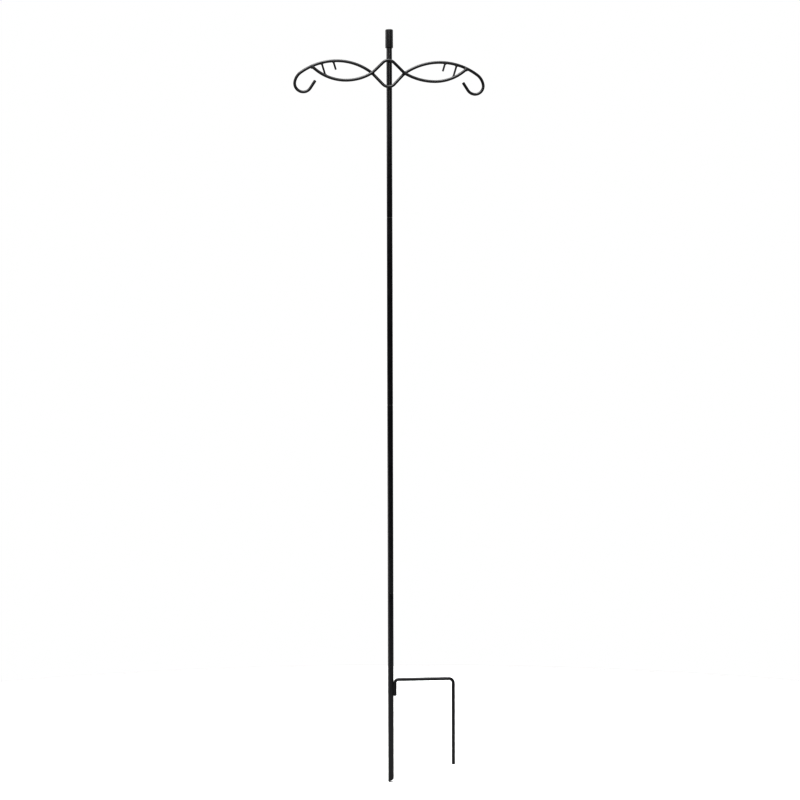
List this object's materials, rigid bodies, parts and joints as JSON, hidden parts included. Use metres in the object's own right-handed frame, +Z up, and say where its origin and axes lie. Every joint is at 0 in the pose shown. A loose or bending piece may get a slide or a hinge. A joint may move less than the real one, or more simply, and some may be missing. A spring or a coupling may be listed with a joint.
{
  "type": "garden feeder pole",
  "caption": "Slim step-in garden pole in plug-together sections, with a scrolled two-arm hanger for bird feeders and a foot prong.",
  "frame": {"origin": "pole axis at the soil line, which is the underside of the foot bar", "axes": "+Z up the pole, +X along the right arm and the foot bar, -Y the side that the rods are welded to"},
  "size_m": [0.546, 0.027, 2.134],
  "materials": {
    "black_powder_coat_tube": "satin black powder coat over a thin steel tube",
    "black_powder_coat_rod": "satin black powder coat over bent steel rod",
    "black_coated_weld": "weld bead under the same black coat",
    "black_moulded_cap": "moulded black plastic, fine matte"
  },
  "bodies": {
    "ground_section": {"ground_tube": "black_powder_coat_tube", "foot_prong": "black_powder_coat_rod", "foot_weld": "black_coated_weld"},
    "lower_section": {"lower_tube": "black_powder_coat_tube"},
    "upper_section": {"upper_tube": "black_powder_coat_tube"},
    "head_section": {"head_tube": "black_powder_coat_tube", "hook_rod": "black_powder_coat_rod", "brace_rod": "black_powder_coat_rod", "left_outer_peg": "black_powder_coat_rod", "left_inner_peg": "black_powder_coat_rod", "right_outer_peg": "black_powder_coat_rod", "right_inner_peg": "black_powder_coat_rod", "top_arch_weld": "black_coated_weld", "bottom_arch_weld": "black_coated_weld", "left_crossing_weld": "black_coated_weld", "right_crossing_weld": "black_coated_weld", "left_brace_end_weld": "black_coated_weld", "right_brace_end_weld": "black_coated_weld", "peg_welds": "black_coated_weld"},
    "cap_section": {"top_cap": "black_moulded_cap"}
  },
  "joints": [
    {"name": "lower_joint_pull", "type": "slide", "parent": "ground_section", "child": "lower_section", "axis": [0, 0, 1], "range_m": [0, 0.055]},
    {"name": "middle_joint_pull", "type": "slide", "parent": "lower_section", "child": "upper_section", "axis": [0, 0, 1], "range_m": [0, 0.055]},
    {"name": "arm_swivel", "type": "hinge", "parent": "upper_section", "child": "head_section", "pos_m": [0, 0, 1.316], "axis": [0, 0, 1], "continuous": true},
    {"name": "cap_pull", "type": "slide", "parent": "head_section", "child": "cap_section", "axis": [0, 0, 1], "range_m": [0, 0.055]}
  ]
}
